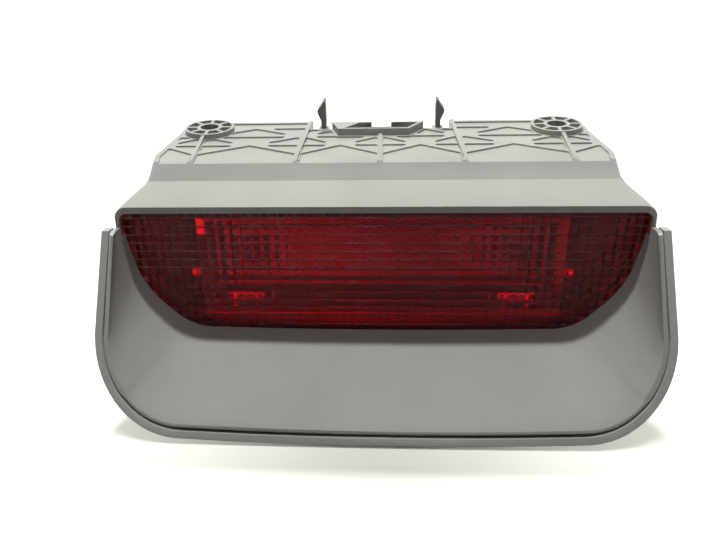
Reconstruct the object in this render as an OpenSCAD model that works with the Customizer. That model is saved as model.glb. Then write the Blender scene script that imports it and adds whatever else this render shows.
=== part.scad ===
// High-mounted brake lamp for the inside of a tailgate, in millimetres.
// Origin: midway between the two mounting holes, on the collars' top faces.
// +X to the right as seen from behind the car, +Y into the car, +Z up.

/* [Overall] */
// Width across the cover's rim
lamp_w = 233; // [205:1:280]
// Drop from the mounting plane to the lowest point of the rim
lamp_h = 97.5; // [88:0.5:117]
// Angle between the window glass and a vertical plane
glass_tilt = 28.5; // [20:0.5:34]
// Wall of the outer cover
cover_wall = 2.5; // [2:0.1:3]
// Gap between parts that sit next to each other
fit_gap = 0.3; // [0.2:0.05:0.4]

/* [Mounting flange] */
// Distance between the two mounting holes
hole_spacing = 160; // [140:1:192]
// Radius of a mounting hole
hole_r = 4.25; // [3.5:0.05:5.1]
// Radius of the collar around a mounting hole
collar_r = 11.5; // [10:0.1:12.5]
// Height of a collar above the flange
collar_h = 2.2; // [1.8:0.1:3]
// Thickness of the flange
web_t = 2.5; // [2:0.1:3]
// Distance from the hole line to the flange's front edge
web_reach = 41.5; // [38:0.5:46]
// Distance from a hole's centre to the flange's outer edge
edge_r = 13.5; // [13:0.1:15]
// Depth of the triangular pockets
pocket_d = 0.7; // [0.4:0.1:1]
// Width of the flat ribs between the pockets
rib_w = 2.6; // [2:0.1:3.4]

/* [Roof and frame] */
// Height of the riser between the flange and the roof
riser_drop = 6.2; // [5.5:0.1:7.5]
// Slope length of the riser along Y
riser_run = 7; // [5.5:0.1:8]
// Length of the roof from the riser to its front edge
roof_run = 17.8; // [15:0.1:21]
// Fall of the roof along that length
roof_drop = 4.5; // [3.4:0.1:5.4]
// Thickness of the roof
roof_t = 2.4; // [2:0.1:2.8]
// Height of the frame bar above the lens
frame_t = 2.8; // [2.5:0.1:3.2]
// Thickness of the roof's side skirts
skirt_t = 1.4; // [1.2:0.1:1.6]
// How far the side skirts reach below the roof's front edge
skirt_drop = 12.1; // [10:0.1:14]

/* [Lens and shroud] */
// Height of the lens
lens_h = 56.9; // [50:0.1:60]
// Thickness of the lens plate
lens_t = 2.2; // [2:0.1:2.4]
// Distance from the lens's side to the rim's outer edge
side_margin = 9.7; // [9:0.1:11]
// Radius of the lens's lower corners
lens_corner_r = 23; // [18:0.5:25]
// Radius of the lens's curved sides
lens_side_r = 41; // [38:0.5:46]
// Radius of the rim's lower corners
rim_corner_r = 36; // [30:0.5:38]
// Width of the cover's rim face
rim_face = 2.9; // [2.4:0.1:3.2]
// Groove between the rim and the shroud
rim_gap = 1; // [0.7:0.1:1.2]
// Wall of the shroud
shroud_wall = 2; // [1.6:0.1:2.4]

/* [Lamp body and bulbs] */
// Depth from the lens's face to the lamp body's rear face
body_depth = 30; // [28:0.5:31]
// Wall of the lamp body
body_wall = 2.2; // [1.8:0.1:2.4]
// Wall of the reflector
mirror_wall = 1.2; // [1:0.1:1.4]
// Width of the plain panel at each end of the lens
side_panel = 30; // [28:0.5:32]
// Radius of a bulb holder's barrel
barrel_r = 8; // [7:0.1:8.6]
// Radius of a bulb's glass
bulb_r = 5.1; // [4.6:0.1:5.4]
// Thickness of the brass strips
strip_t = 0.6; // [0.5:0.05:0.7]

/* [Snap hooks] */
// Distance between the two snap hooks
hook_spacing = 53; // [50:0.5:60]
// Height of a snap hook above the flange
hook_h = 13; // [11:0.1:15.6]
// Thickness of a snap hook's stem
hook_t = 2.3; // [2:0.1:2.6]
// Overhang of a snap hook's barb
barb = 1.8; // [1.4:0.1:2.4]
// Length of a snap hook along Y
hook_len = 7; // [5.5:0.1:8]

/* [Screws] */
// Radius of a screw's shank
screw_r = 1.5; // [1.25:0.05:1.7]
// Radius of a screw's head
screw_head_r = 3.2; // [2.8:0.1:3.6]
// Height of a screw's head
screw_head_h = 2.2; // [1.8:0.1:2.6]

/* [Hidden] */
$fn = 48;
big = 400;
eps = 0.01;

// Levels and stations of the flange, the roof and the frame
hx = hole_spacing / 2;
web_z = -collar_h;
web_low = web_z - web_t;
web_y = -web_reach;
crease_y = web_y - riser_run;
crease_z = web_z - riser_drop;
front_y = crease_y - roof_run;
front_z = crease_z - roof_drop;
skirt_z = front_z - skirt_drop;
roof_slope = roof_drop / roof_run;
frame_depth = 4.3;
riser_lap = 0.4;
web_lap = 2;

// Widths of the lens, the frame and the roof, as half widths
rim_half = lamp_w / 2;
lens_half = rim_half - side_margin;
frame_half = lens_half + skirt_t + 2 * fit_gap + 0.2;
frame_corner = 5;
roof_taper = 10.9;
crease_half = frame_half - roof_taper;
skirt_back_half = frame_half - 1.5;
side_lean = (skirt_back_half - crease_half) / (crease_z - skirt_z);
web_half = hx + 17;

// Lens outline
lens_y = front_y + 2.3;
lens_top = front_z - frame_t + 0.6;
lens_low = lens_top - lens_h;
bow = 1;
lens_top_r = 4;
shoulder = 12;

// Window plane and the rim that lies on it
slope = tan(glass_tilt);
glass_y0 = front_y + 8.1;
rim_top_z = skirt_z + 3.2;
rim_flare = 0.066;
rim_bow = 1.5;
rim_t = 0.5;
shroud_inset = rim_face + rim_gap;

// Cover
base_drop = 1;
base_z = -lamp_h - base_drop;
base_half = rim_half - 46;
heel_r = 24;
heel_y = -36;
heel_x = rim_half - 58;
base_front = heel_y - 62;
cover_back = 2.4;
cover_back_front = -20;
cover_back_half = 44;
cover_back_drop = 28;
cover_shoulder_y = -27;
cover_shoulder_half = web_half - 7;
cover_bulge = 2.5;
open_rise = 3;

// Lamp body
ring_in = 2;
skirt_w = 1.6;
ring_y = lens_y + lens_t + 3.8;
ring_t = 2.2;
rear_y = lens_y + body_depth;
body_in = 3;
body_taper_x = 30;
body_rise = 13;
body_fall = 4;
ring_rib = 3.5;

// Bulbs and their holders
mirror_half = lens_half - side_panel;
bulb_x = mirror_half - 21;
bulb_rise = 1.45;
bulb_z = (lens_top + lens_low) / 2 + bulb_rise;
mirror_y = rear_y - 5;
mirror_low = lens_low + 6.5;
mirror_top = lens_top - 5.5;
mirror_end = 6;
mirror_floor = 8.5;
mirror_ceiling = 4;
lug_r = barrel_r + 2;
lug_w = 5;
lug_t = 2;
lug_turn = 45;
flange_r = barrel_r + 6;
flange_gap = 1.6;
flange_t = 2.4;
holder_y = rear_y + flange_gap;
holder_back = holder_y + flange_t;
grip_h = 7;
grip_t = 4;
barrel_end = rear_y - 9;
lug_y = rear_y - body_wall - fit_gap;
wedge_w = 9.4;
wedge_t = 2.3;
bulb_y = barrel_end - 0.3;
bulb_len = 9.1;
glass_t = 0.7;
pinch_h = 6.6;
lead_x = 2.2;
lead_w = 0.5;
coil_y = -8;
coil_len = 5.6;
coil_r = 0.5;
contact_half = 2;
contact_z = wedge_t / 2 + 0.35;
foot_y = holder_y - 0.3;
bar_r = barrel_r + 4.4;
bar_w = 3;
bar_lap = 2.4;
bar_step = 0.9;

// Connector opening and header
boss_front = -7.9;
boss_back = 2.5;
boss_wall = 1.3;
boss_h = 3.2;
plug_x = 0.9;
plug_w = 19;
plug_y = -3.2;
plug_d = 6.2;
plug_wall = 0.9;
plug_ear = 3.6;
plug_low = -20;
pin_w = 2.8;
pin_pitch = 8;
pin_top = -7;
bridge_z = -24;

// Recess for the snap hooks
recess_half = hook_spacing / 2 + 5.7;
hook_y = boss_back;
pivot_r = 1.15;
seat_half = 2.4;

// Screw places
ear_half = 6;
ear_room = 2;
body_screw_x = min(bulb_x + 10, cover_shoulder_half - cover_wall - ear_half - ear_room);
body_screw_y = rear_y + 6;
ear_z = -17;
ear_t = 2.4;
ear_top = ear_z - fit_gap / 2;
ear_len = 11.5;
shroud_screw_x = 60;
shroud_screw_z = lens_low - 8.6;
tab_half = 5;
cover_screw_x = 34;
cover_screw_y = -9;
cup_z = -20;
cup_t = 2.2;
cup_r = screw_head_r + 2;
cup_wall = 1.8;
screw_boss_r = 4;
screw_top = web_low - 2;
pilot_gap = 0.05;
clear_gap = 0.4;

// Points of an arc in the 2D plane
function arc(c, r, a0, a1, n) =
    [for (i = [0:n]) let (a = a0 + (a1 - a0) * i / n) [c.x + r * cos(a), c.y + r * sin(a)]];

// A right-hand outline closed with its mirror image
function both(half) =
    concat(half, [for (i = [len(half) - 1:-1:0]) [-half[i].x, half[i].y]]);

// A bottom edge that bows down towards the centre
function bowed(x, z, depth) =
    [for (i = [1:5]) let (t = i / 6) [x * (1 - t), z - depth * (1 - (1 - t) * (1 - t))]];

// Lens outline in X and Z, set in by inset, with its top at the given level
function lens_pts(inset, top, round_top) =
    let (
        side_c = [lens_half - lens_side_r - 1.5, lens_low + bow + lens_side_r],
        low_c = [side_c.x + lens_side_r - lens_corner_r - 10.3, lens_low + bow + lens_corner_r],
        gap = norm(low_c - side_c),
        lean = atan2(low_c.y - side_c.y, low_c.x - side_c.x),
        join = lean + acos((lens_side_r - lens_corner_r) / gap),
        knee = [lens_half, lens_top - shoulder],
        reach = norm(knee - side_c),
        start = atan2(knee.y - side_c.y, knee.x - side_c.x) - acos(lens_side_r / reach),
        r = round_top ? lens_top_r : 0.1,
        x = lens_half - inset
    )
    both(concat(
        arc([x - r, top - r], r, 90, 0, 6),
        [[x, knee.y]],
        arc(side_c, lens_side_r - inset, start, join, 10),
        arc(low_c, lens_corner_r - inset, join, -90, 10),
        bowed(low_c.x, lens_low + bow + inset, bow)
    ));

// Rim outline seen along Y, set in by inset, with its top at the given level
function rim_pts(inset, top) =
    let (c = [rim_half - rim_corner_r, -lamp_h + rim_bow + rim_corner_r])
    both(concat(
        [[rim_half - inset - (top - c.y) * rim_flare, top]],
        arc(c, rim_corner_r - inset, 0, -90, 16),
        bowed(c.x, -lamp_h + rim_bow + inset, rim_bow)
    ));

// Extrudes an X-Z outline from y0 to y1
module along_y(y0, y1) translate([0, y1, 0]) rotate([90, 0, 0]) linear_extrude(y1 - y0) children();

// Extrudes a Y-Z outline between -half and half
module along_x(half) translate([-half, 0, 0]) rotate([90, 0, 90]) linear_extrude(2 * half) children();

// A cylinder along Y from y0 to y1
module rod_y(x, z, y0, y1, r) translate([x, y0, z]) rotate([-90, 0, 0]) cylinder(h = y1 - y0, r = r);

// A cylinder along Z from z0 to z1
module rod_z(x, y, z0, z1, r) translate([x, y, z0]) cylinder(h = z1 - z0, r = r);

// A box between two corners
module block(a, b) translate(a) cube(b - a);

// An X-Z outline laid on the window plane, from offset d0 to d1 behind it
module on_glass(d0, d1)
    multmatrix([[1, 0, 0, 0], [0, 1, slope, glass_y0], [0, 0, 1, 0]])
    along_y(d0, d1) children();

// Everything above the lower side of the upper housing, for the parts under it
module above_housing(gap) along_x(big) polygon([
    [-big, rim_top_z],
    [front_y - gap, rim_top_z],
    [front_y - gap, skirt_z - gap],
    [crease_y + gap, skirt_z - gap],
    [crease_y + gap, crease_z - roof_t - gap - 1],
    [web_y, web_low - gap],
    [big, web_low - gap],
    [big, big],
    [-big, big]
]);

// ---- Upper housing ----

module roof_section(half, top, low_half, low, corner) polygon(both(concat(
    arc([half - corner, top - corner], corner, 90, 10, 8),
    [[low_half, low]]
)));

module cap_outer() hull() {
    along_y(front_y, front_y + frame_depth)
        roof_section(frame_half, front_z, frame_half, skirt_z, frame_corner);
    along_y(crease_y - 0.5, crease_y)
        roof_section(crease_half, crease_z, skirt_back_half, skirt_z, 0.2);
}

module cap_inner() hull() {
    along_y(lens_y - 0.2, front_y + frame_depth)
        roof_section(frame_half - skirt_t, front_z - roof_t + roof_slope,
            frame_half - skirt_t, skirt_z - 1, frame_corner - skirt_t);
    along_y(crease_y - 0.6, crease_y + 0.1)
        roof_section(crease_half - skirt_t, crease_z - roof_t,
            skirt_back_half - skirt_t, skirt_z - 1, 0.2);
}

module cap() difference() {
    cap_outer();
    cap_inner();
    along_y(front_y - 1, lens_y)
        roof_section(frame_half - skirt_t, front_z - frame_t,
            frame_half - skirt_t, skirt_z - 1, frame_corner - skirt_t);
}

module riser() intersection() {
    along_x(big) polygon([
        [crease_y - riser_lap, crease_z - riser_lap * roof_slope],
        [crease_y, crease_z],
        [web_y, web_z],
        [web_y + web_lap, web_z],
        [web_y + web_lap, web_low],
        [web_y - 1.2, web_low],
        [crease_y - riser_lap, crease_z - roof_t - 0.1]
    ]);
    linear_extrude(2 * big, center = true) polygon(both([
        [crease_half + 0.2, crease_y - riser_lap],
        [web_half, web_y],
        [web_half, web_y + web_lap]
    ]));
}

module flange_plan() {
    polygon(both([
        [web_half, web_y],
        [web_half + 1, web_y + 8],
        [hx + edge_r, -3],
        [hx + edge_r, 0],
        [hx, edge_r]
    ]));
    for (s = [-1, 1]) translate([s * hx, 0]) circle(r = edge_r);
}

module recess_plan() translate([-recess_half, boss_back]) square([2 * recess_half, edge_r + 1]);

// Corners of the raised boss around the connector opening, from the front left
boss_plan = [[-19.3, boss_front], [12.9, boss_front], [19.8, boss_back], [-22.5, boss_back]];
boss_cavity = [[-16.5, boss_front + boss_wall], [12.2, boss_front + boss_wall],
    [17.3, boss_back - boss_wall], [-9.5, boss_back - boss_wall]];

// Rows and columns of the rib grid
row_pitch = 12;
row_back = 4.8;
rows = [for (i = [0:3]) row_back - i * row_pitch];
outer_node = hx + 1;
inner_node = hook_spacing / 2 + 9;
gusset_h = 0.9;
b_cols = [-web_half - 1, -(inner_node + outer_node) / 2, -inner_node / 2,
    inner_node / 2, (inner_node + outer_node) / 2, web_half + 1];
a_cols = [-outer_node, -inner_node, 0, inner_node, outer_node];

module rib_line(a, b) translate(a) rotate(atan2(b.y - a.y, b.x - a.x))
    translate([0, -rib_w / 2]) square([norm(b - a), rib_w]);

module rib_net() {
    for (r = [0:2]) translate([-big, rows[r] - rib_w / 2]) square([2 * big, rib_w]);
    for (r = [0:2], i = [0:4]) {
        upper = r % 2 == 0 ? [b_cols[i], b_cols[i + 1]] : [a_cols[i], a_cols[i]];
        lower = r % 2 == 0 ? [a_cols[i], a_cols[i]] : [b_cols[i], b_cols[i + 1]];
        rib_line([upper[0], rows[r]], [lower[0], rows[r + 1]]);
        rib_line([upper[1], rows[r]], [lower[1], rows[r + 1]]);
    }
    for (s = [-1, 1]) translate([s * hx, 0]) circle(r = collar_r + 0.8);
    for (s = [-1, 1], x = [0, inner_node, outer_node])
        translate([s * x - rib_w / 2, -big]) square([rib_w, big]);
}

module pocket_plan() offset(r = 1, $fn = 16) offset(delta = -1) difference() {
    union() {
        offset(delta = -2.2) flange_plan();
        translate([-web_half + 2.2, web_y - 3]) square([2 * web_half - 4.4, 8]);
    }
    offset(delta = 1.6) recess_plan();
    offset(delta = 1.2) polygon(boss_plan);
    rib_net();
}

module spoke_plan() difference() {
    circle(r = collar_r - 1.2);
    circle(r = hole_r + 1.7);
    for (i = [0:3]) rotate(45 * i) square([big, 1.5], center = true);
}

// Low fin that runs forward from a collar and dies into the flange
module collar_gusset(s) translate([s * outer_node - 0.8, 0, 0]) rotate([90, 0, 90]) linear_extrude(1.6)
    polygon(concat(
        [[-collar_r + 0.6, web_z - 0.1], [-collar_r + 0.6, -0.3]],
        [for (i = [1:6]) let (t = i / 6)
            [-collar_r - t * (web_reach - collar_r), web_z + 0.5 + (collar_h - 0.8) * pow(1 - t, 2)]],
        [[web_y, web_z - 0.1]]
    ));

module gusset(x0, y0, x1, y1, h) translate([x0, y0, web_z - 0.1])
    rotate(atan2(y1 - y0, x1 - x0)) translate([0, -0.9, 0])
    cube([norm([x1 - x0, y1 - y0]), 1.8, h + 0.1]);

module screw_post(x, y, low) difference() {
    rod_z(x, y, low, web_low + 0.1, screw_boss_r);
    rod_z(x, y, low - 1, web_low - 1, screw_r + pilot_gap);
}

module hook_seat(s) translate([s * hook_spacing / 2, 0, 0]) difference() {
    block([-seat_half, hook_y - 3, web_low], [seat_half, hook_y + hook_len, web_z - 0.9]);
    rod_y(0, web_z, hook_y, hook_y + hook_len + 1, pivot_r + fit_gap);
}

module upper_housing() color([0.72, 0.73, 0.7]) difference() {
    union() {
        difference() {
            union() {
                translate([0, 0, web_low]) linear_extrude(web_t) flange_plan();
                riser();
            }
            translate([0, 0, web_z - pocket_d]) linear_extrude(web_t) pocket_plan();
            translate([0, 0, web_low - 1]) linear_extrude(web_t + 2) recess_plan();
        }
        for (s = [-1, 1]) rod_z(s * hx, 0, web_low, 0, collar_r);
        cap();
        for (s = [-1, 1]) collar_gusset(s);
        for (s = [-1, 1])
            gusset(s * (inner_node - 2.2), edge_r - 1, s * (inner_node + 0.4), web_y + 0.6, gusset_h);
        gusset(0, boss_front + 0.2, 0, web_y + 0.6, gusset_h);
        translate([0, 0, web_low]) linear_extrude(web_t + boss_h) polygon(boss_plan);
        for (s = [-1, 1]) screw_post(s * cover_screw_x, cover_screw_y, cup_z);
        for (s = [-1, 1]) screw_post(s * body_screw_x, body_screw_y, ear_z);
        for (s = [-1, 1]) hook_seat(s);
    }
    for (s = [-1, 1]) rod_z(s * hx, 0, web_low - 1, 1, hole_r);
    for (s = [-1, 1]) translate([s * hx, 0, -1.8]) linear_extrude(3) spoke_plan();
    translate([0, 0, web_z]) linear_extrude(boss_h + 1) polygon(boss_cavity);
    translate([plug_x, plug_y, 0]) block([-plug_w / 2 - fit_gap, -plug_d / 2 - fit_gap, web_low - 1],
        [plug_w / 2 + fit_gap, plug_d / 2 + fit_gap, web_z + 1]);
    block([-4.1, boss_back - 2, web_z], [4.9, boss_back + 1, boss_h]);
}

// ---- Outer cover ----

module cover_plan(inset) polygon(both([
    [web_half - 2 - inset, web_y + web_lap],
    [cover_shoulder_half - inset, cover_shoulder_y - 0.6 * inset],
    [cover_back_half + 6 - 0.5 * inset, cover_back - inset]
]));

// The cover's outer form, or its inner one, set in by a wall and open at the top
module cover_form(inset, front, rise) hull() {
    on_glass(front, front + rim_t) polygon(rim_pts(inset == 0 ? 0 : rim_face, rim_top_z + rise));
    along_y(crease_y + 0.2, crease_y + 0.4) roof_section(crease_half - inset - rise * side_lean,
        crease_z + rise, skirt_back_half - inset, skirt_z, 0.2);
    along_y(lens_y + 6, lens_y + 9) intersection() {
        polygon(lens_pts(inset - cover_bulge, lens_top, false));
        translate([-big, skirt_z - 1 - big]) square([2 * big, big]);
    }
    block([-base_half, base_front + inset, base_z + inset], [base_half, heel_y, base_z + inset + 1]);
    for (s = [-1, 1]) translate([s * heel_x, heel_y, base_z + heel_r]) sphere(r = heel_r - inset, $fn = 40);
    translate([0, 0, web_low - 1]) linear_extrude(1 + rise) cover_plan(inset);
    block([-cover_back_half + inset, cover_back_front, -cover_back_drop + inset / 2],
        [cover_back_half - inset, cover_back - inset, web_low - 1]);
}

module cover_cup(s) difference() {
    intersection() {
        rod_z(s * cover_screw_x, cover_screw_y, base_z, cup_z - fit_gap / 2, cup_r + cup_wall);
        cover_form(0, 0, 0);
    }
    rod_z(s * cover_screw_x, cover_screw_y, base_z - 1, cup_z - cup_t, cup_r);
    rod_z(s * cover_screw_x, cover_screw_y, base_z, cup_z + 1, screw_r + clear_gap);
}

module outer_cover() color([0.72, 0.73, 0.7]) difference() {
    union() {
        difference() {
            cover_form(0, 0, 0);
            cover_form(cover_wall, -1, open_rise);
        }
        for (s = [-1, 1]) cover_cup(s);
    }
    above_housing(fit_gap);
    for (s = [-1, 1])
        rod_z(s * cover_screw_x, cover_screw_y, base_z - 1, cup_z - cup_t, cup_r);
}

// ---- Shroud ----

module shroud_form(lens_inset, rim_inset, back, front, rise) hull() {
    along_y(lens_y - 0.6, lens_y + back) polygon(lens_pts(lens_inset, rise, false));
    on_glass(front, front + 0.3) polygon(rim_pts(rim_inset, rim_top_z + 1 + rise));
}

module shroud_boss(s) {
    rod_y(s * shroud_screw_x, shroud_screw_z, lens_y - 10, ring_y - fit_gap, screw_boss_r);
    translate([s * shroud_screw_x - 1, 0, 0]) rotate([90, 0, 90]) linear_extrude(2) polygon([
        [lens_y - 0.3, lens_low - 0.5],
        [lens_y - 0.3, shroud_screw_z],
        [lens_y - 11, shroud_screw_z],
        [lens_y - 11, lens_low - 6]
    ]);
}

module shroud() color([0.7, 0.71, 0.68]) difference() {
    union() {
        difference() {
            shroud_form(-1, shroud_inset, -0.1, 0, 0);
            shroud_form(1, shroud_inset + shroud_wall, 1, -0.8, 6);
        }
        for (s = [-1, 1]) shroud_boss(s);
    }
    above_housing(fit_gap);
    for (s = [-1, 1])
        rod_y(s * shroud_screw_x, shroud_screw_z, lens_y - 8, ring_y + 1, screw_r + pilot_gap);
}

// ---- Lens ----

module ring_2d(outer, inner) difference() {
    polygon(lens_pts(outer, lens_top - outer, true));
    polygon(lens_pts(inner, lens_top - inner, true));
}

module lens() color([0.75, 0.04, 0.08]) union() {
    along_y(lens_y, lens_y + lens_t) polygon(lens_pts(0, lens_top, true));
    along_y(lens_y + lens_t - 0.1, ring_y) ring_2d(ring_in, ring_in + skirt_w);
}

// ---- Lamp body ----

module body_form(inset, y0, y1) intersection() {
    along_y(y0, y1) polygon(lens_pts(body_in + inset, lens_top - body_in - inset, true));
    linear_extrude(2 * big, center = true) polygon(both([
        [lens_half - inset, ring_y - 1],
        [lens_half - body_taper_x - inset, rear_y]
    ]));
    along_x(big) polygon([
        [ring_y - 1, lens_top],
        [rear_y, lens_top - body_fall - inset],
        [rear_y, lens_low + body_rise + inset],
        [ring_y - 1, lens_low]
    ]);
}

module lug_ring(r, w, y0, y1, turn) for (a = [0, 120, 240])
    translate([0, y0, 0]) rotate([0, a + turn, 0]) translate([-w / 2, 0, 0]) cube([w, y1 - y0, r]);

// Ear that a screw holds to the upper housing's post
module body_ear(s) translate([s * body_screw_x, 0, ear_top]) difference() {
    block([-ear_half, rear_y - 1, -ear_t], [ear_half, rear_y + ear_len, 0]);
    rod_z(0, body_screw_y, -ear_t - 1, 1, screw_r + clear_gap);
}

// Tab that holds the shroud's screw boss
module shroud_tab(s) translate([s * shroud_screw_x, 0, 0]) difference() {
    block([-tab_half, ring_y, shroud_screw_z - tab_half], [tab_half, ring_y + ring_t, lens_low + 3]);
    rod_y(0, shroud_screw_z, ring_y - 1, ring_y + ring_t + 1, screw_r + clear_gap);
}

module lamp_body() color([0.2, 0.2, 0.21]) difference() {
    union() {
        along_y(ring_y, ring_y + ring_t) ring_2d(ring_in, ring_in + ring_rib);
        difference() {
            body_form(0, ring_y + eps, rear_y);
            body_form(body_wall, ring_y - 2, rear_y - body_wall);
        }
        for (s = [-1, 1]) body_ear(s);
        for (s = [-1, 1]) shroud_tab(s);
    }
    for (s = [-1, 1]) {
        rod_y(s * bulb_x, bulb_z, rear_y - body_wall - 1, rear_y + 1, barrel_r + fit_gap);
        translate([s * bulb_x, 0, bulb_z])
            lug_ring(lug_r + fit_gap, lug_w + 2 * fit_gap, rear_y - body_wall - 1, rear_y + 1, lug_turn);
    }
}

// ---- Reflector ----

module mirror_form(inset, y0, y1) hull() {
    block([-mirror_half + inset, y0, mirror_low + inset],
        [mirror_half - inset, y0 + 0.5, mirror_top - inset]);
    block([-mirror_half + mirror_end + inset, y1 - 0.5, mirror_low + mirror_floor + inset],
        [mirror_half - mirror_end - inset, y1, mirror_top - mirror_ceiling - inset]);
}

module reflector() color([0.85, 0.85, 0.87]) difference() {
    mirror_form(0, ring_y - 2, mirror_y);
    mirror_form(mirror_wall, ring_y - 2.6, mirror_y - mirror_wall);
    for (s = [-1, 1]) rod_y(s * bulb_x, bulb_z, mirror_y - 3, mirror_y + 1, barrel_r + 2 * fit_gap);
}

// ---- Bulb holders, bulbs and contacts ----

module bulb_holder(s) color([0.1, 0.1, 0.1]) translate([s * bulb_x, 0, bulb_z]) difference() {
    union() {
        rod_y(0, 0, barrel_end, holder_y + 0.1, barrel_r);
        rod_y(0, 0, holder_y, holder_back, flange_r);
        block([-grip_t / 2, holder_back - 0.1, -flange_r + 3],
            [grip_t / 2, holder_back + grip_h, flange_r - 3]);
        intersection() {
            lug_ring(lug_r, lug_w, lug_y - lug_t, lug_y, 0);
            rod_y(0, 0, barrel_end, rear_y, lug_r);
        }
    }
    block([-wedge_w / 2 - fit_gap, barrel_end - 1, -wedge_t / 2 - fit_gap],
        [wedge_w / 2 + fit_gap, rear_y - 1, wedge_t / 2 + fit_gap]);
    for (m = [-1, 1]) scale([1, 1, m]) {
        block([-contact_half - 0.1, barrel_end + 0.8, contact_z - 0.15],
            [contact_half + 0.1, holder_y - 0.2, contact_z + strip_t + 0.15]);
        block([-contact_half - 0.1, holder_y - 1.1, 0], [contact_half + 0.1, holder_y, flange_r + 1]);
    }
}

module contacts(s) color([0.8, 0.62, 0.25]) translate([s * bulb_x, 0, bulb_z])
    for (m = [-1, 1]) scale([1, 1, m]) {
        block([-contact_half, barrel_end + 1, contact_z], [contact_half, foot_y, contact_z + strip_t]);
        block([-contact_half, foot_y - strip_t, contact_z], [contact_half, foot_y, bar_r + bar_w / 2]);
    }

// Half outline of a bulb's glass, with its base at the origin and its tip at +Y
module glass_half(inset) intersection() {
    union() {
        translate([0, bulb_len]) circle(r = bulb_r - inset);
        translate([0, inset]) square([bulb_r - inset, bulb_len - inset]);
    }
    square(big);
}

module bulb(s) color([0.85, 0.9, 0.95]) translate([s * bulb_x, bulb_y, bulb_z]) {
    rotate([90, 0, 0]) rotate_extrude() difference() {
        glass_half(0);
        glass_half(glass_t);
    }
    block([-wedge_w / 2, -0.1, -wedge_t / 2], [wedge_w / 2, pinch_h, wedge_t / 2]);
}

module filament(s) color([0.6, 0.6, 0.62]) translate([s * bulb_x, bulb_y, bulb_z]) {
    for (m = [-1, 1]) translate([m * lead_x, 0, 0])
        block([-lead_w / 2, coil_y - 0.1, -lead_w / 2], [lead_w / 2, -glass_t, lead_w / 2]);
    translate([-coil_len / 2, coil_y, 0]) rotate([0, 90, 0]) cylinder(h = coil_len, r = coil_r);
}

// ---- Bus bars and connector ----

// Run of a bar behind the two holders, above or below their centres by z
module bus_run(z) translate([0, rear_y, bulb_z + z])
    block([-bulb_x - bar_lap, 0, -bar_w / 2], [bulb_x + bar_lap, strip_t, bar_w / 2]);

// Bridge and upright blade that reach from the lamp body into the header
module bus_blade(x, wall_y) translate([x - pin_w / 2, 0, 0]) {
    block([0, wall_y, bridge_z], [pin_w, plug_y + strip_t / 2, bridge_z + strip_t]);
    block([0, plug_y - strip_t / 2, bridge_z], [pin_w, plug_y + strip_t / 2, pin_top]);
}

module bus_bar_live() color([0.8, 0.62, 0.25]) union() {
    x = plug_x - pin_pitch / 2;
    bus_run(bar_r);
    bus_blade(x, rear_y);
    block([x - pin_w / 2, rear_y, bulb_z + bar_r], [x + pin_w / 2, rear_y + strip_t, bridge_z + strip_t]);
}

module bus_bar_ground() color([0.8, 0.62, 0.25]) union() {
    x = plug_x + pin_pitch / 2;
    back = rear_y + strip_t + bar_step;
    low = bulb_z - bar_r;
    bus_run(-bar_r);
    bus_blade(x, back);
    block([x - pin_w / 2, back, low + 1], [x + pin_w / 2, back + strip_t, bridge_z + strip_t]);
    block([x - pin_w / 2, rear_y, low - 1], [x + pin_w / 2, back + strip_t, low + 1.4]);
}

module connector_header() color([0.12, 0.12, 0.12]) translate([plug_x, plug_y, 0]) difference() {
    union() {
        block([-plug_w / 2, -plug_d / 2, plug_low], [plug_w / 2, plug_d / 2, web_z + 1.6]);
        block([-plug_w / 2 - plug_ear, -plug_d / 2, web_low - 2],
            [plug_w / 2 + plug_ear, plug_d / 2, web_low]);
    }
    block([-plug_w / 2 + plug_wall, -plug_d / 2 + plug_wall, plug_low + 2],
        [plug_w / 2 - plug_wall, plug_d / 2 - plug_wall, 5]);
    for (m = [-1, 1]) translate([m * pin_pitch / 2, 0, plug_low])
        cube([pin_w + 0.2, strip_t + 0.2, 6], center = true);
}

// ---- Snap hooks ----

module snap_hook(s) color([0.25, 0.25, 0.26]) translate([s * hook_spacing / 2, 0, 0]) scale([s, 1, 1]) {
    translate([0, hook_y + hook_len, web_z]) rotate([90, 0, 0]) linear_extrude(hook_len - 0.3) polygon([
        [-hook_t / 2, 0],
        [-hook_t / 2, hook_h - 0.8],
        [-hook_t / 2 + 0.5, hook_h],
        [0.1, hook_h - 0.3],
        [hook_t / 2 - 0.1, hook_h - 2.2],
        [hook_t / 2 + barb - 0.3, hook_h - 4.2],
        [hook_t / 2 + barb, hook_h - 5.1],
        [hook_t / 2 + barb - 0.3, hook_h - 6.1],
        [hook_t / 2, hook_h - 9.6],
        [hook_t / 2, 0]
    ]);
    rod_y(0, web_z, hook_y + 0.3, hook_y + hook_len, pivot_r);
}

// ---- Screws ----

module screw_up(x, y, seat, reach) {
    rod_z(x, y, seat - screw_head_h, seat, screw_head_r);
    rod_z(x, y, seat - 0.1, reach, screw_r);
}

module body_screws() color([0.7, 0.7, 0.72])
    for (s = [-1, 1]) screw_up(s * body_screw_x, body_screw_y, ear_top - ear_t, screw_top);

module cover_screws() color([0.7, 0.7, 0.72])
    for (s = [-1, 1]) screw_up(s * cover_screw_x, cover_screw_y, cup_z - cup_t, screw_top);

module shroud_screws() color([0.7, 0.7, 0.72]) for (s = [-1, 1]) {
    rod_y(s * shroud_screw_x, shroud_screw_z, ring_y + ring_t, ring_y + ring_t + screw_head_h, screw_head_r);
    rod_y(s * shroud_screw_x, shroud_screw_z, lens_y - 7, ring_y + ring_t + 0.1, screw_r);
}

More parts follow.
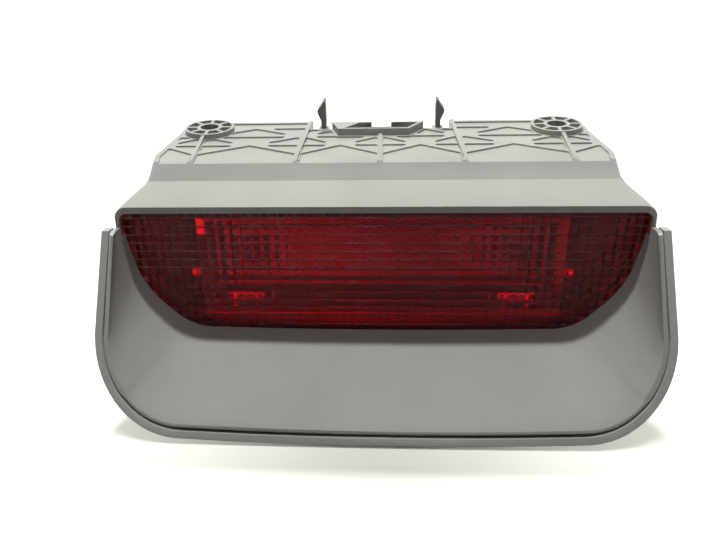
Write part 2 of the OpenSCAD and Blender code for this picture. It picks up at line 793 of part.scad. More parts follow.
upper_housing();
outer_cover();
shroud();
lens();
lamp_body();
reflector();
bulb_holder(-1);  // bulb_holder_left
bulb_holder(1);  // bulb_holder_right
bulb(-1);  // bulb_left
bulb(1);  // bulb_right
filament(-1);  // filament_left
filament(1);  // filament_right
contacts(-1);  // contacts_left
contacts(1);  // contacts_right
bus_bar_live();
bus_bar_ground();
connector_header();
snap_hook(-1);  // snap_hook_left
snap_hook(1);  // snap_hook_right
body_screws();
shroud_screws();
cover_screws();
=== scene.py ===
import math

import bmesh
import bpy
from mathutils import Matrix, Vector


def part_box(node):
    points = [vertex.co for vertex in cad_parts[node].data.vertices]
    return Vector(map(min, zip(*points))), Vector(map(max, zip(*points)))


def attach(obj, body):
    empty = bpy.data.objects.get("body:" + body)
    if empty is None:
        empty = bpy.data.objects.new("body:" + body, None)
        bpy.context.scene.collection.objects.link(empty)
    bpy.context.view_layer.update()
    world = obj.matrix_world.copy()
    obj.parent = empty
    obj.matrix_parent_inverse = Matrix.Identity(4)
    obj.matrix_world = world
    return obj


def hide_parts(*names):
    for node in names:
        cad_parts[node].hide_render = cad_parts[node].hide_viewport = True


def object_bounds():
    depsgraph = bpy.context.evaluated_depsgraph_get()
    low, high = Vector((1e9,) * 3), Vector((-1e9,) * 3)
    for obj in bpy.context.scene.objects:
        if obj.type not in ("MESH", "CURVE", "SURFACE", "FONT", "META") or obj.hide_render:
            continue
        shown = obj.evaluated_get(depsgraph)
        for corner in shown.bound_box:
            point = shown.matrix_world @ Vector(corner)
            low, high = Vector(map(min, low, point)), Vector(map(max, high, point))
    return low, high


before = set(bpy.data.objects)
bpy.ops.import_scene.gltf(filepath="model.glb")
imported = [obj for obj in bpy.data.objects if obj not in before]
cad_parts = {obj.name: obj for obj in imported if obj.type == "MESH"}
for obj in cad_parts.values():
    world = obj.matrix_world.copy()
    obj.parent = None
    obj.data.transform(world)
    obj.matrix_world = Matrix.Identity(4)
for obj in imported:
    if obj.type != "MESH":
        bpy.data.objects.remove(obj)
cad_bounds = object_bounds()

MM = 0.001
MERGE = 0.00001
CUT = 0.0000001
SIDES = {"left": -1, "right": 1}

# Places taken from the frame
lens_low, lens_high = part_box("lens")
mirror_low, mirror_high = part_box("reflector")
cover_low, cover_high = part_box("outer_cover")
lens_front = lens_low.y
floor_z = cad_bounds[0][2]

# Lens sizes; steps, groove_half and the marked widths are counted in pitches
plate = 2.2 * MM
pitch = 3.8 * MM
pillow_rise = 1.2 * MM
groove_depth = 0.22 * MM
groove_half = 0.09
line_sway = 0.3 * MM
# Rows from the top whose grooves carry the painted highlight
painted_highlight_rows = 7.5
column_steps = (0, 0.04, 0.11, 0.5, 0.89, 0.96)
row_steps = (0, 0.035, 0.07, 0.11, 0.36, 0.64, 0.89, 0.95)
row_mark = (-0.05, 0.08)
column_mark = 0.03

# Edges of the moulded parts
soft_edge = 0.35 * MM
firm_edge = 0.3 * MM
fine_edge = 0.15 * MM
strip_edge = 0.08 * MM
crease_degrees = 35
flat_degrees = 0.4

# The rim at the window: its flat faces look along out_of_glass
glass_tilt = math.radians(28.5)
out_of_glass = Vector((0, -math.cos(glass_tilt), math.sin(glass_tilt)))
rim_heart = Vector((0, cover_low.y, (cover_low.z + cover_high.z) / 2))
scoop_heart = Vector((0, (cover_low.y + lens_front) / 2, (lens_low.z + lens_high.z) / 2))
lip_top = -25 * MM
lip_round = 1 * MM
lip_thinned_outside = 0.6 * MM
lip_thinned_inside = 0.95 * MM

# The housing's flange
flange_top = -2.2 * MM
flange_front = -41.5 * MM
rib_ramp = 3 * MM


# ---- Materials ----

def new_material(name):
    material = bpy.data.materials.new(name)
    material.use_nodes = True
    tree = material.node_tree
    return material, tree, tree.nodes["Principled BSDF"]


def add(tree, kind, **values):
    """A new node; values are its properties, or its inputs with _ for a space."""
    node = tree.nodes.new(kind)
    for key, value in values.items():
        if hasattr(node, key):
            setattr(node, key, value)
        else:
            node.inputs[key.replace("_", " ")].default_value = value
    return node


def object_noise(tree, scale, detail=2.0):
    where = add(tree, "ShaderNodeTexCoord")
    noise = add(tree, "ShaderNodeTexNoise", Scale=scale, Detail=detail)
    tree.links.new(where.outputs["Object"], noise.inputs["Vector"])
    return noise


def object_place(tree):
    """Object coordinates as separate X, Y and Z outputs."""
    where = add(tree, "ShaderNodeTexCoord")
    split = add(tree, "ShaderNodeSeparateXYZ")
    tree.links.new(where.outputs["Object"], split.inputs["Vector"])
    return split


def calculated(tree, operation, first, second, clamp=False):
    node = add(tree, "ShaderNodeMath", operation=operation, use_clamp=clamp)
    tree.links.new(first, node.inputs[0])
    tree.links.new(second, node.inputs[1])
    return node.outputs[0]


def mixed(tree, factor, low, high, blend="MIX"):
    """A colour mix; factor is an output or a number, low and high are outputs or colours."""
    mix = add(tree, "ShaderNodeMix", data_type="RGBA", blend_type=blend)
    if isinstance(factor, bpy.types.NodeSocket):
        tree.links.new(factor, mix.inputs["Factor"])
    else:
        mix.inputs["Factor"].default_value = factor
    for name, value in (("A", low), ("B", high)):
        socket = [s for s in mix.inputs if s.name == name and s.type == "RGBA"][0]
        if isinstance(value, bpy.types.NodeSocket):
            tree.links.new(value, socket)
        else:
            socket.default_value = (*value, 1.0)
    return [s for s in mix.outputs if s.type == "RGBA"][0]


def ranged(tree, value, low, high, to_low, to_high):
    mapped = add(tree, "ShaderNodeMapRange")
    tree.links.new(value, mapped.inputs["Value"])
    for name, number in (("From Min", low), ("From Max", high), ("To Min", to_low), ("To Max", to_high)):
        mapped.inputs[name].default_value = number
    return mapped.outputs["Result"]


def bumped(tree, shader, height, strength, distance):
    bump = add(tree, "ShaderNodeBump")
    bump.inputs["Strength"].default_value = strength
    bump.inputs["Distance"].default_value = distance
    tree.links.new(height, bump.inputs["Height"])
    tree.links.new(bump.outputs["Normal"], shader.inputs["Normal"])


def grained_plastic(name, colour, roughness, dust=0.5):
    """Moulded plastic with a fine grain, a faint change of shade and a few dust specks."""
    material, tree, shader = new_material(name)
    patches = object_noise(tree, 22, 3)
    dark = tuple(c * 0.93 for c in colour)
    light = tuple(min(1, c * 1.06) for c in colour)
    shade = mixed(tree, ranged(tree, patches.outputs["Fac"], 0.3, 0.7, 0, 1), dark, light)
    specks = object_noise(tree, 1500, 0)
    speck = ranged(tree, specks.outputs["Fac"], 0.82, 0.86, 0, dust)
    pale = tuple(min(1, c + 0.35) for c in colour)
    tree.links.new(mixed(tree, speck, shade, pale), shader.inputs["Base Color"])
    grain = object_noise(tree, 2600, 2)
    rough = ranged(tree, grain.outputs["Fac"], 0.3, 0.7, roughness - 0.05, roughness + 0.06)
    tree.links.new(rough, shader.inputs["Roughness"])
    bumped(tree, shader, grain.outputs["Fac"], 0.35, 0.04 * MM)
    return material


def see_through(shader, transmission, roughness):
    """The lens plastic's own gloss, with a red reflection."""
    shader.inputs["Transmission Weight"].default_value = transmission
    shader.inputs["Roughness"].default_value = roughness
    shader.inputs["IOR"].default_value = 1.49
    shader.inputs["Specular Tint"].default_value = (0.3, 0.15, 0.2, 1)


def red_plastic():
    material, tree, shader = new_material("red_lens")
    haze = object_noise(tree, 60, 2)
    thick = (0.78, 0.008, 0.021)
    thin = (0.85, 0.011, 0.027)
    tint = mixed(tree, ranged(tree, haze.outputs["Fac"], 0.3, 0.7, 0, 1), thick, thin)
    tree.links.new(tint, shader.inputs["Base Color"])
    see_through(shader, 1, 0.05)
    return material


def grooves_with_painted_highlight(name, dull, bright, fade_from, fade_to):
    """The lens's grooves with a painted highlight, lighter here and there at random, that fades out between
    two places in X.
    """
    material, tree, shader = new_material(name)
    noise = object_noise(tree, 90, 3)
    # Painted highlight: groove faces lighter than the lens's red, standing in for light caught on the groove
    # flanks.
    painted_highlight_tone = mixed(tree, ranged(tree, noise.outputs["Fac"], 0.4, 0.62, 0, 1), dull, bright)
    fade = ranged(tree, object_place(tree).outputs["X"], fade_from, fade_to, 0, 1)
    tree.links.new(mixed(tree, fade, painted_highlight_tone, (0.14, 0.008, 0.012)), shader.inputs["Base Color"])
    see_through(shader, 0.35, 0.3)
    return material


def mirror_with_painted_shade():
    """The reflector's metallised coat with painted shade, darker towards its top and its right end, and
    clouded at random.
    """
    material, tree, shader = new_material("mirror_coat")
    place = object_place(tree)
    # Painted shade: the coat darkens towards its right end and towards its top.
    across = ranged(tree, place.outputs["X"], -20 * MM, 10 * MM, 1, 0.62)
    down = ranged(tree, place.outputs["Z"], mirror_low.z, mirror_high.z, 1.15, 0.75)
    painted_shade_tone = mixed(tree, calculated(tree, "MULTIPLY", across, down), (0, 0, 0), (0.43, 0.43, 0.45))
    clouds = object_noise(tree, 120, 3)
    cloud = mixed(tree, clouds.outputs["Fac"], (0.75, 0.75, 0.75), (1, 1, 1))
    tree.links.new(mixed(tree, 1, painted_shade_tone, cloud, "MULTIPLY"), shader.inputs["Base Color"])
    shader.inputs["Metallic"].default_value = 1.0
    tree.links.new(ranged(tree, clouds.outputs["Fac"], 0.3, 0.7, 0.34, 0.5), shader.inputs["Roughness"])
    bumped(tree, shader, clouds.outputs["Fac"], 0.1, 0.02 * MM)
    return material


def metal(name, colour, roughness, scale=900):
    material, tree, shader = new_material(name)
    noise = object_noise(tree, scale, 3)
    dark = tuple(c * 0.85 for c in colour)
    tree.links.new(mixed(tree, noise.outputs["Fac"], dark, colour), shader.inputs["Base Color"])
    shader.inputs["Metallic"].default_value = 1.0
    rough = ranged(tree, noise.outputs["Fac"], 0.3, 0.7, roughness * 0.8, roughness * 1.25)
    tree.links.new(rough, shader.inputs["Roughness"])
    bumped(tree, shader, noise.outputs["Fac"], 0.1, 0.02 * MM)
    return material


def clear_glass():
    material, tree, shader = new_material("bulb_glass")
    haze = object_noise(tree, 200, 2)
    tint = mixed(tree, haze.outputs["Fac"], (0.93, 0.95, 0.96), (0.98, 0.98, 0.99))
    tree.links.new(tint, shader.inputs["Base Color"])
    shader.inputs["Transmission Weight"].default_value = 1.0
    shader.inputs["Roughness"].default_value = 0.02
    shader.inputs["IOR"].default_value = 1.5
    return material


housing_plastic = grained_plastic("housing_plastic", (0.38, 0.388, 0.355), 0.42)
cover_plastic = grained_plastic("cover_plastic", (0.42, 0.43, 0.395), 0.45)
shroud_plastic = grained_plastic("shroud_plastic", (0.4, 0.405, 0.385), 0.45)
lamp_plastic = grained_plastic("lamp_plastic", (0.09, 0.085, 0.09), 0.5, dust=0.2)
holder_plastic = grained_plastic("holder_plastic", (0.06, 0.06, 0.06), 0.45, dust=0.2)
hook_plastic = grained_plastic("hook_plastic", (0.17, 0.172, 0.172), 0.42, dust=0.2)
lens_plastic = red_plastic()
# Painted highlight lines on the lens's grooves: along the rows, fading out towards the right, and along the
# left columns.
row_plastic = grooves_with_painted_highlight("lens_row_painted_highlights", (0.45, 0.12, 0.13), (0.68, 0.27, 0.29), 0, 160 * MM)
column_plastic = grooves_with_painted_highlight("lens_column_painted_highlights", (0.28, 0.03, 0.035), (0.42, 0.12, 0.13), -50 * MM, 0)
mirror_coat = mirror_with_painted_shade()
clip_coat = metal("clip_coat", (0.72, 0.72, 0.74), 0.22, 300)
bright_coat = metal("bright_coat", (0.9, 0.9, 0.92), 0.12, 300)
dull_coat = metal("dull_coat", (0.22, 0.22, 0.23), 0.35, 300)
bulb_glass = clear_glass()
filament_wire = metal("filament_wire", (0.45, 0.45, 0.47), 0.4)
brass_strip = metal("brass_strip", (0.78, 0.58, 0.25), 0.3)
screw_steel = metal("screw_steel", (0.6, 0.6, 0.56), 0.3)


# ---- Meshes ----

def everything(bm):
    return bm.verts[:] + bm.edges[:] + bm.faces[:]


def new_verts(made):
    return [g for g in made if isinstance(g, bmesh.types.BMVert)]


def node_mesh(node):
    """A merged copy of a node's mesh."""
    bm = bmesh.new()
    bm.from_mesh(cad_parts[node].data)
    bmesh.ops.remove_doubles(bm, verts=bm.verts, dist=MERGE)
    return bm


def finish_mesh(name, bm, material, angle=crease_degrees):
    mesh = bpy.data.meshes.new(name)
    bm.to_mesh(mesh)
    bm.free()
    for face in mesh.polygons:
        face.use_smooth = True
    mesh.set_sharp_from_angle(angle=math.radians(angle))
    mesh.materials.append(material)
    piece = bpy.data.objects.new(name, mesh)
    bpy.context.scene.collection.objects.link(piece)
    return piece


def placed(piece, body, slot, *nodes):
    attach(piece, body)
    if nodes:
        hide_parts(*nodes)
    return piece


def bar(bm, low, high, edge=0.25 * MM):
    """A box between two corners with softened edges."""
    size = Vector(high) - Vector(low)
    verts = bmesh.ops.create_cube(bm, size=1)["verts"]
    bmesh.ops.scale(bm, verts=verts, vec=size)
    bmesh.ops.translate(bm, verts=verts, vec=(Vector(high) + Vector(low)) / 2)
    edges = dict.fromkeys(e for v in verts for e in v.link_edges)
    bmesh.ops.bevel(bm, geom=list(edges), offset=edge, segments=2, profile=0.5, affect="EDGES", material=-1)


# ---- Pieces made from the frame's own shapes ----

def rounded_copy(node, name, body, slot, material, edge, segments=2, shape=None):
    """The node's own shape with its edges softened, after shape has changed its mesh."""
    bm = node_mesh(node)
    bmesh.ops.dissolve_limit(bm, angle_limit=math.radians(flat_degrees), verts=bm.verts, edges=bm.edges)
    if shape:
        shape(bm)
    piece = finish_mesh(name, bm, material)
    bevel = piece.modifiers.new("soft_edges", "BEVEL")
    bevel.width = edge
    bevel.segments = segments
    bevel.limit_method = "ANGLE"
    bevel.angle_limit = math.radians(crease_degrees)
    bevel.harden_normals = True
    bevel.use_clamp_overlap = True
    return placed(piece, body, slot, node)


def lip_edges(bm, way):
    """A rim's outer edges (way 1) or inner edges (way -1) at the window, each with the way its side looks."""
    found = []
    for edge in bm.edges:
        if len(edge.link_faces) != 2:
            continue
        flat = [f for f in edge.link_faces if f.normal.dot(out_of_glass) > 0.995]
        side = [f for f in edge.link_faces if f.normal.dot(out_of_glass) < 0.9]
        away = sum((v.co for v in edge.verts), Vector()) / 2 - rim_heart
        away -= away.dot(out_of_glass) * out_of_glass
        if flat and side and side[0].normal.dot(away) * way > 0 and edge.verts[0].co.z < lip_top:
            looks = side[0].normal
            found.append((edge, looks - looks.dot(out_of_glass) * out_of_glass))
    return found


def round_lip(bm):
    """Rounds the cover's outer edge at the window."""
    edges = [edge for edge, looks in lip_edges(bm, 1)]
    bmesh.ops.bevel(bm, geom=edges, offset=lip_round, segments=5, profile=0.5, affect="EDGES",
        material=-1, clamp_overlap=True)


def thin_lip(bm, way, depth):
    """Thins the shroud's edge at the window from its outer side (way 1) or its inner side (way -1)."""
    shifts = {}
    for edge, looks in lip_edges(bm, way):
        for v in edge.verts:
            shifts[v] = shifts.get(v, Vector()) + looks
    for v, looks in shifts.items():
        v.co -= looks.normalized() * depth


def smooth_scoop(bm):
    """Blends the scoop's floor into its side walls between the lens and the rim."""
    slices = 12
    slice_step = 4 * MM
    spokes = 60
    snap = 0.5 * MM
    passes = 30

    def inner_faces():
        return [f for f in bm.faces if (scoop_heart - f.calc_center_median()).dot(f.normal) > 0
            and f.normal.dot(out_of_glass) < 0.84 and f.normal.y < 0.5]

    cuts = [(scoop_heart + i * slice_step * out_of_glass, out_of_glass) for i in range(-slices, slices)]
    for i in range(spokes):
        turn = math.pi * (i + 0.5) / spokes
        cuts.append((scoop_heart, Vector((-math.sin(turn), 0, math.cos(turn)))))
    bmesh.ops.triangulate(bm, faces=inner_faces())
    for place, normal in cuts:
        faces = inner_faces()
        edges = dict.fromkeys(e for f in faces for e in f.edges)
        verts = dict.fromkeys(v for f in faces for v in f.verts)
        bmesh.ops.bisect_plane(bm, geom=[*verts, *edges, *faces], dist=snap, plane_co=place, plane_no=normal)
    faces = set(inner_faces())
    free = [v for v in bm.verts if all(f in faces for f in v.link_faces)]
    for _ in range(passes):
        bmesh.ops.smooth_vert(bm, verts=free, factor=0.5, use_axis_x=True, use_axis_y=True, use_axis_z=True)


def shape_shroud(bm):
    thin_lip(bm, 1, lip_thinned_outside)
    thin_lip(bm, -1, lip_thinned_inside)
    smooth_scoop(bm)


def slope_rib_ends(bm):
    """Lets the flange's proud ribs run out in a short ramp at the flange's front edge."""
    for v in bm.verts:
        if v.co.z > flange_top + 0.3 * MM and v.co.y < flange_front + 1 * MM:
            v.co.y += rib_ramp


rounded_copy("upper_housing", "housing_moulding", "root", "housing_plastic", housing_plastic, soft_edge,
    shape=slope_rib_ends)
rounded_copy("outer_cover", "cover_moulding", "root", "cover_plastic", cover_plastic, soft_edge,
    shape=round_lip)
rounded_copy("shroud", "shroud_moulding", "root", "shroud_plastic", shroud_plastic, soft_edge,
    shape=shape_shroud)
rounded_copy("lamp_body", "lamp_box", "root", "lamp_plastic", lamp_plastic, soft_edge)
rounded_copy("reflector", "mirror_box", "root", "mirror_coat", mirror_coat, soft_edge, 3)
rounded_copy("connector_header", "header_moulding", "root", "header_plastic", holder_plastic, fine_edge)
for side in SIDES:
    rounded_copy(f"snap_hook_{side}", f"hook_{side}_moulding", f"hook_{side}", "hook_plastic",
        hook_plastic, firm_edge)
    rounded_copy(f"bulb_holder_{side}", f"holder_{side}_moulding", f"holder_{side}", "holder_plastic",
        holder_plastic, fine_edge)
    rounded_copy(f"bulb_{side}", f"bulb_{side}_glass", f"holder_{side}", "bulb_glass", bulb_glass, fine_edge)
    rounded_copy(f"contacts_{side}", f"contact_{side}_strips", f"holder_{side}", "brass_strip",
        brass_strip, strip_edge)
for bus_bar in ("bus_bar_live", "bus_bar_ground"):
    rounded_copy(bus_bar, bus_bar + "_strip", "root", "brass_strip", brass_strip, strip_edge)


# ---- Lens ----

def lens_outline():
    """Corner points of the lens's front face, in order round its middle."""
    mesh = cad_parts["lens"].data
    points = {(round(v.co.x, 6), round(v.co.z, 6)) for v in mesh.vertices if v.co.y < lens_front + MERGE}
    middle = (lens_low.z + lens_high.z) / 2
    ordered = sorted(points, key=lambda p: math.atan2(p[1] - middle, p[0] / 2))
    return [Vector((x, 0, z)) for x, z in ordered]


def pillow(offset):
    """Height of a pillow's face at a place counted from its middle in pitches."""
    return 1 - (2 * offset) ** 2


def from_middle(place):
    """How far a place counted in pitches lies from the middle of its pillow."""
    return place - math.floor(place) - 0.5


def stepped(index, steps):
    """Place of a grid line, counted in pitches, where every pitch has the same uneven steps."""
    whole, part = divmod(round(index), len(steps))
    return whole + steps[part]


def groove(place):
    """Depth of the groove between two pillows at a place counted in pitches, as a share of its full depth."""
    off = abs(place - round(place)) / groove_half
    return max(0.0, 1 - off * off) ** 2


def lens_skirt():
    """The ring behind the plate that meets the lamp box."""
    bm = node_mesh("lens")
    bmesh.ops.bisect_plane(bm, geom=everything(bm), dist=CUT,
        plane_co=(0, lens_front + plate + 0.05 * MM, 0), plane_no=(0, 1, 0), clear_inner=True)
    bmesh.ops.bridge_loops(bm, edges=[e for e in bm.edges if e.is_boundary])
    mesh = bpy.data.meshes.new("skirt")
    bm.to_mesh(mesh)
    bm.free()
    return mesh


def pillow_grid(top):
    """A flat grid over the lens, whose lines lie close together beside each groove."""
    columns = math.ceil((lens_high.x - lens_low.x) / pitch / 2) * 2 + 2
    rows = math.ceil((lens_high.z - lens_low.z) / pitch) + 2
    across_lines = columns * len(column_steps)
    down_lines = rows * len(row_steps)
    bm = bmesh.new()
    bmesh.ops.create_grid(bm, x_segments=across_lines, y_segments=down_lines, size=0.5)
    for v in bm.verts:
        across = stepped((v.co.x + 0.5) * across_lines, column_steps) - columns / 2
        down = stepped((0.5 - v.co.y) * down_lines, row_steps)
        v.co = (across * pitch, 0, top - down * pitch)
    return bm


def cut_to_outline(bm):
    outline = lens_outline()
    middle = Vector((0, 0, (lens_low.z + lens_high.z) / 2))
    for a, b in zip(outline, outline[1:] + outline[:1]):
        normal = (b - a).cross(Vector((0, 1, 0))).normalized()
        if (a - middle).dot(normal) < 0:
            normal = -normal
        bmesh.ops.bisect_plane(bm, geom=everything(bm), dist=CUT, plane_co=a, plane_no=normal,
            clear_outer=True)


def shape_pillows(bm, front, top):
    """Grooves on the front vertices, pillows on the others, and rows that sway a little."""
    for v in bm.verts:
        across = v.co.x / pitch
        down = (top - v.co.z) / pitch
        if v in front:
            v.co.y = lens_front + groove_depth * max(groove(across), groove(down))
        else:
            rise = pillow(from_middle(across)) + pillow(from_middle(down))
            v.co.y = lens_front + plate - pillow_rise * (1 - rise / 2)
        inside = min(1, (lens_high.z - v.co.z) / pitch, (v.co.z - lens_low.z) / pitch)
        v.co.z -= line_sway * inside * pillow(from_middle(across))


def mark_grooves(bm, front, top):
    """Gives the upper grooves' faces the painted-highlight materials, 1 along the rows and 2 along the left
    columns.
    """
    for face in bm.faces:
        if not all(v in front for v in face.verts):
            continue
        place = face.calc_center_median()
        across = place.x / pitch
        down = (top - place.z - line_sway * pillow(from_middle(across))) / pitch
        if down >= painted_highlight_rows:
            continue
        if row_mark[0] < down - round(down) < row_mark[1]:
            face.material_index = 1
        elif place.x < 0 and abs(across - round(across)) < column_mark:
            face.material_index = 2


def red_lens():
    top = lens_high.z + 0.5 * MM
    bm = pillow_grid(top)
    cut_to_outline(bm)
    front = set(new_verts(bmesh.ops.extrude_face_region(bm, geom=bm.faces[:])["geom"]))
    shape_pillows(bm, front, top)
    mark_grooves(bm, front, top)
    skirt = lens_skirt()
    bm.from_mesh(skirt)
    bpy.data.meshes.remove(skirt)
    bmesh.ops.recalc_face_normals(bm, faces=bm.faces)
    piece = finish_mesh("red_lens_plate", bm, lens_plastic, 50)
    piece.data.materials.append(row_plastic)
    piece.data.materials.append(column_plastic)
    placed(piece, "root", "red_lens", "lens")


red_lens()


# ---- Small bright parts inside the lamp ----

def mirror_part(name, bm, coat):
    placed(finish_mesh(name, bm, coat, 40), "root", "mirror_coat")


def end_pins(side, tab_drop, coat):
    """Three round pins and a tab by an end wall of the reflector, near the lens."""
    pin = 0.85 * MM
    tab_half = 2.2 * MM
    way = SIDES[side]
    pin_x = way * (mirror_high.x + 2.2 * MM)
    bm = bmesh.new()
    for drop in (30, 35.5, 40.5):
        ball = bmesh.ops.create_uvsphere(bm, u_segments=16, v_segments=10, radius=pin)["verts"]
        bmesh.ops.translate(bm, verts=ball, vec=(pin_x, mirror_low.y + 1 * MM, lens_high.z - drop * MM))
    mirror_part(f"mirror_pins_{side}", bm, bright_coat)
    tab_x = way * (mirror_high.x - 2 * MM)
    bm = bmesh.new()
    bar(bm, (tab_x - tab_half, mirror_low.y - 0.3 * MM, lens_high.z - tab_drop),
        (tab_x + tab_half, mirror_low.y + 0.9 * MM, lens_high.z - 5.2 * MM))
    mirror_part(f"mirror_tab_{side}", bm, coat)


def bulb_clip(side):
    """The bright clip on the reflector's floor in front of a bulb."""
    low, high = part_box(f"bulb_{side}")
    half = 6 * MM
    leg_x = 7 * MM
    leg_half = 1.1 * MM
    x = (low.x + high.x) / 2 + SIDES[side] * 2 * MM
    y = mirror_low.y + 3.6 * MM
    z = lens_high.z - 44 * MM
    bm = bmesh.new()
    bar(bm, (x - half, y, z - 1.3 * MM), (x + half, y + 1.2 * MM, z + 1.3 * MM))
    for leg in (x - leg_x, x + leg_x):
        bar(bm, (leg - leg_half, y - 0.4 * MM, z - 3 * MM), (leg + leg_half, y + 1.6 * MM, z + 3 * MM))
    mirror_part(f"mirror_clip_{side}", bm, clip_coat)


def fluted_panel():
    """Upright flutes on the reflector's back wall between the two bulbs, with thin cross ribs."""
    half = 38 * MM
    flute = 4.2 * MM
    flute_depth = 0.7 * MM
    count = round(2 * half / flute)
    steps = 8
    back = mirror_high.y - 1.3 * MM
    low = mirror_low.z + 10.5 * MM
    high = mirror_high.z - 6 * MM
    bm = bmesh.new()
    bmesh.ops.create_grid(bm, x_segments=count * steps, y_segments=2, size=0.5)
    for v in bm.verts:
        turn = (v.co.x + 0.5) * count
        v.co = (v.co.x * 2 * half, back - 1 * MM - flute_depth * abs(math.sin(math.pi * turn)),
            low + (v.co.y + 0.5) * (high - low))
    for v in new_verts(bmesh.ops.extrude_face_region(bm, geom=bm.faces[:])["geom"]):
        v.co.y = back - 0.2 * MM
    bmesh.ops.recalc_face_normals(bm, faces=bm.faces)
    for rise in (0.3, 0.55, 0.8):
        z = low + rise * (high - low)
        bar(bm, (-half, back - 2.4 * MM, z - 0.5 * MM), (half, back - 0.6 * MM, z + 0.5 * MM), 0.2 * MM)
    mirror_part("mirror_flutes", bm, mirror_coat)


def bright_ridge():
    """A thin ridge along the reflector's floor."""
    half = 0.35 * MM
    z = lens_high.z - 47.5 * MM
    bm = bmesh.new()
    bar(bm, (-19 * MM, mirror_low.y + 3 * MM, z - half),
        (17 * MM, mirror_low.y + 4 * MM, z + half), 0.15 * MM)
    mirror_part("mirror_ridge", bm, bright_coat)


def lower_flange():
    """The reflector's lower flange, which closes the gap to the lens's foot."""
    half = mirror_high.x - 4 * MM
    bm = bmesh.new()
    bar(bm, (-half, mirror_low.y + 0.4 * MM, lens_low.z + 2.6 * MM),
        (half, mirror_low.y + 1.4 * MM, mirror_low.z + 0.2 * MM))
    mirror_part("mirror_lower_flange", bm, mirror_coat)


end_pins("left", 13 * MM, bright_coat)
end_pins("right", 38 * MM, dull_coat)
for side in SIDES:
    bulb_clip(side)
fluted_panel()
bright_ridge()
lower_flange()


# ---- Coil filaments ----

def filament(side):
    """A coil across the bulb with a straight lead from each end."""
    low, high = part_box(f"filament_{side}")
    wire = 0.12 * MM
    coil = 0.4 * MM
    span = 4.4 * MM
    turns = 9
    steps = 12
    x = (low.x + high.x) / 2
    y = low.y + 0.5 * MM
    z = (low.z + high.z) / 2
    points = [Vector((x - span / 2, high.y, z))]
    for i in range(turns * steps + 1):
        share = i / (turns * steps)
        turn = 2 * math.pi * turns * share
        points.append(Vector((x - span / 2 + span * share,
            y + coil * math.cos(turn), z + coil * math.sin(turn))))
    points.append(Vector((x + span / 2, high.y, z)))
    curve = bpy.data.curves.new(f"filament_{side}_coil", "CURVE")
    curve.dimensions = "3D"
    spline = curve.splines.new("POLY")
    spline.points.add(len(points) - 1)
    for place, point in zip(spline.points, points):
        place.co = (*point, 1)
    curve.bevel_depth = wire
    curve.bevel_resolution = 2
    curve.materials.append(filament_wire)
    piece = bpy.data.objects.new(f"filament_{side}_coil", curve)
    bpy.context.scene.collection.objects.link(piece)
    placed(piece, f"holder_{side}", "filament_wire", f"filament_{side}")


for side in SIDES:
    filament(side)


# ---- Screws ----

for screws in ("body_screws", "shroud_screws", "cover_screws"):
    rounded_copy(screws, screws + "_steel", "root", "screw_steel", screw_steel, firm_edge)


# ---- Stage, light and camera ----

middle = Vector((0, -70 * MM, -50 * MM))


def seen_directly(tree):
    """1 for rays from the camera, a gloss or a glass, 0 for the rest."""
    path = add(tree, "ShaderNodeLightPath")
    total = path.outputs["Is Camera Ray"]
    for name in ("Is Glossy Ray", "Is Transmission Ray"):
        total = calculated(tree, "ADD", total, path.outputs[name], clamp=True)
    return total


def white_floor():
    """A pale floor that glows white far from the lamp, where it is seen."""
    bm = bmesh.new()
    bmesh.ops.create_grid(bm, x_segments=2, y_segments=2, size=6)
    bmesh.ops.translate(bm, verts=bm.verts, vec=(0, 2, floor_z))
    material, tree, shader = new_material("white_floor")
    seen = seen_directly(tree)
    tree.links.new(mixed(tree, seen, (0.06, 0.06, 0.058), (0.76, 0.76, 0.7)), shader.inputs["Base Color"])
    shader.inputs["Roughness"].default_value = 0.8
    shader.inputs["Specular IOR Level"].default_value = 0.1
    where = add(tree, "ShaderNodeTexCoord")
    reach = add(tree, "ShaderNodeVectorMath", operation="LENGTH")
    tree.links.new(where.outputs["Object"], reach.inputs[0])
    far = ranged(tree, reach.outputs["Value"], 0.28, 0.6, 0, 1)
    shader.inputs["Emission Color"].default_value = (1, 1, 1, 1)
    tree.links.new(calculated(tree, "MULTIPLY", seen, far), shader.inputs["Emission Strength"])
    floor = finish_mesh("floor", bm, material)
    return floor


def floor_group(name, floor, state):
    """A group that lets a lamp light the floor alone (INCLUDE) or all but the floor (EXCLUDE)."""
    group = bpy.data.collections.new(name)
    group.objects.link(floor)
    group.collection_objects[0].light_linking.link_state = state
    return group


def aimed_lamp(name, lamp, place, aim, lit):
    """A lamp at a place that looks at aim and lights only one group."""
    facing = (aim - place).to_track_quat("-Z", "Y").to_matrix().to_4x4()
    holder = bpy.data.objects.new(name, lamp)
    holder.matrix_world = Matrix.Translation(place) @ facing
    bpy.context.scene.collection.objects.link(holder)
    holder.light_linking.receiver_collection = lit
    return holder


def floor_spot(side, lit):
    """Keeps the floor white under a lower corner of the cover."""
    lamp = bpy.data.lights.new(f"floor_spot_{side}", "SPOT")
    lamp.energy = 95
    lamp.spot_size = math.radians(13)
    lamp.spot_blend = 1
    lamp.shadow_soft_size = 0.08
    way = SIDES[side]
    place = Vector((way * 0.42, -0.62, 0.1))
    aim = Vector((way * 0.118, cover_low.y + 0.03, floor_z))
    aimed_lamp(f"floor_spot_{side}", lamp, place, aim, lit)


def soft_box(name, offset, size, power, lit):
    """A rectangular lamp that looks at the middle of the object, at an offset from it."""
    lamp = bpy.data.lights.new(name, "AREA")
    lamp.shape = "RECTANGLE"
    lamp.size, lamp.size_y = size
    lamp.energy = power
    lamp.color = (1, 1, 0.99)
    aimed_lamp(name, lamp, middle + Vector(offset), middle, lit).visible_glossy = False


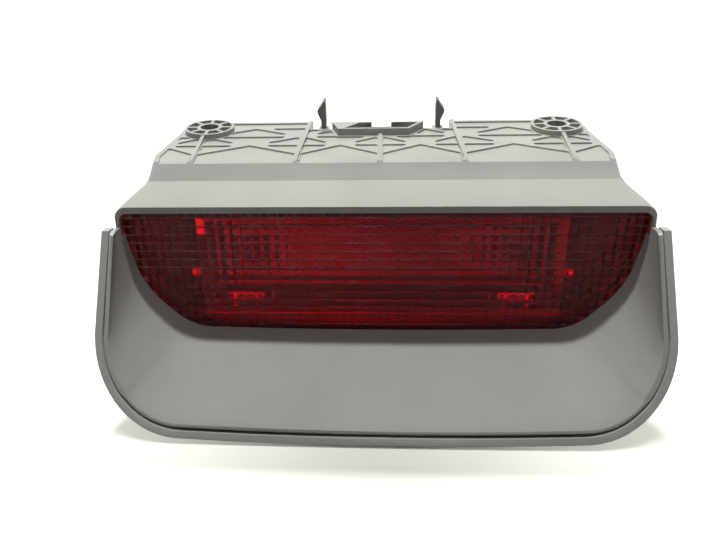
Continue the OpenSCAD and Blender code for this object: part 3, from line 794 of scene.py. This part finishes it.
def studio_world():
    """White where it is seen, and elsewhere a dome that is dim in front of the lens."""
    world = bpy.data.worlds.new("studio")
    world.use_nodes = True
    tree = world.node_tree
    back = tree.nodes["Background"]
    where = add(tree, "ShaderNodeTexCoord")
    split = add(tree, "ShaderNodeSeparateXYZ")
    tree.links.new(where.outputs["Generated"], split.inputs["Vector"])
    above = ranged(tree, split.outputs["Z"], 0.2, 1.0, 0.04, 0.2)
    behind = ranged(tree, split.outputs["Y"], -0.2, 0.9, 0.04, 0.25)
    shade = mixed(tree, calculated(tree, "MAXIMUM", above, behind), (0, 0, 0), (1, 1, 1))
    tree.links.new(mixed(tree, seen_directly(tree), shade, (1, 1, 1)), back.inputs["Color"])
    back.inputs["Strength"].default_value = 1
    bpy.context.scene.world = world


def camera():
    """Stands in front of the lens, a little to the right, and looks down on the roof."""
    yaw, pitch_down, roll = math.radians(4.84), math.radians(27.12), math.radians(-2.06)
    data = bpy.data.cameras.new("camera")
    data.sensor_width = 36
    data.lens = 42.3823
    data.shift_x = 0.0559
    data.shift_y = 0.0006
    view = bpy.data.objects.new("camera", data)
    place = Vector((2.1 * MM, -381.4 * MM, 119.9 * MM))
    view.matrix_world = (Matrix.Translation(place) @ Matrix.Rotation(yaw, 4, "Z")
        @ Matrix.Rotation(math.pi / 2 - pitch_down, 4, "X") @ Matrix.Rotation(roll, 4, "Z"))
    bpy.context.scene.collection.objects.link(view)
    bpy.context.scene.camera = view


floor = white_floor()
floor_only = floor_group("floor_only", floor, "INCLUDE")
all_but_floor = floor_group("all_but_floor", floor, "EXCLUDE")
for side in SIDES:
    floor_spot(side, floor_only)
studio_world()
soft_box("key_light", (-0.05, 0.11, 1.4), (0.06, 0.05), 15, all_but_floor)
soft_box("back_light", (-0.22, 0.75, 1.15), (0.2, 0.2), 12.5, all_but_floor)
soft_box("floor_top_light", (0, 0.1, 1.4), (0.7, 0.5), 15, floor_only)
soft_box("floor_back_light", (-0.05, 0.82, 1.16), (0.12, 0.1), 20, floor_only)
camera()
bpy.context.scene.view_settings.view_transform = "Standard"
